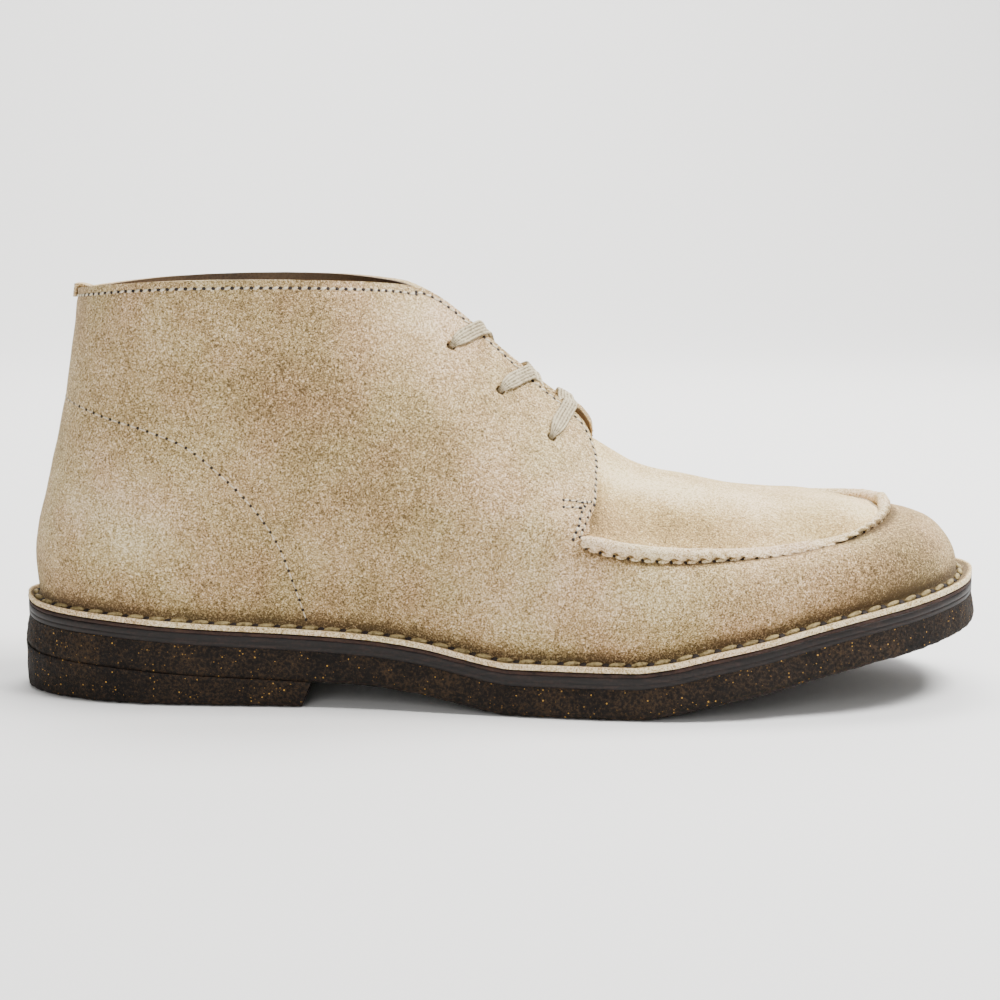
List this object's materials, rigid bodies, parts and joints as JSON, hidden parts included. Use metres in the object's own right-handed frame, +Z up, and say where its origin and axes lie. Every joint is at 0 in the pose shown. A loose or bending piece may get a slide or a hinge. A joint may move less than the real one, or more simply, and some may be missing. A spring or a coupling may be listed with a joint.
{
  "type": "suede chukka boot",
  "caption": "Right-foot suede chukka boot with a moccasin apron, punched eyelets, flat laces and a stitched-down crepe sole, standing empty.",
  "frame": {"origin": "middle of the heel's flat tread, on the floor", "axes": "+X from heel to toe, +Y to the medial side of this right shoe, +Z up"},
  "size_m": [0.3026, 0.1076, 0.1289],
  "materials": {
    "suede": "napped suede, mottled warm beige",
    "lining": "smooth undyed lining leather, rust brown",
    "insole": "smooth tan leather sock, matte",
    "crepe": "pebbled natural crepe, dark brown with amber specks",
    "band": "smooth dark brown edge, slight sheen",
    "lace": "flat woven cotton, ribbed lengthwise",
    "thread": "waxed thread, light olive"
  },
  "bodies": {
    "root": {"heel": "crepe", "outsole": "crepe", "midsole": "band", "insole": "insole", "upper": "suede", "tongue": "suede", "lace_bar": "lace", "lace_cross_lower": "lace", "lace_cross_upper": "lace"}
  },
  "joints": []
}
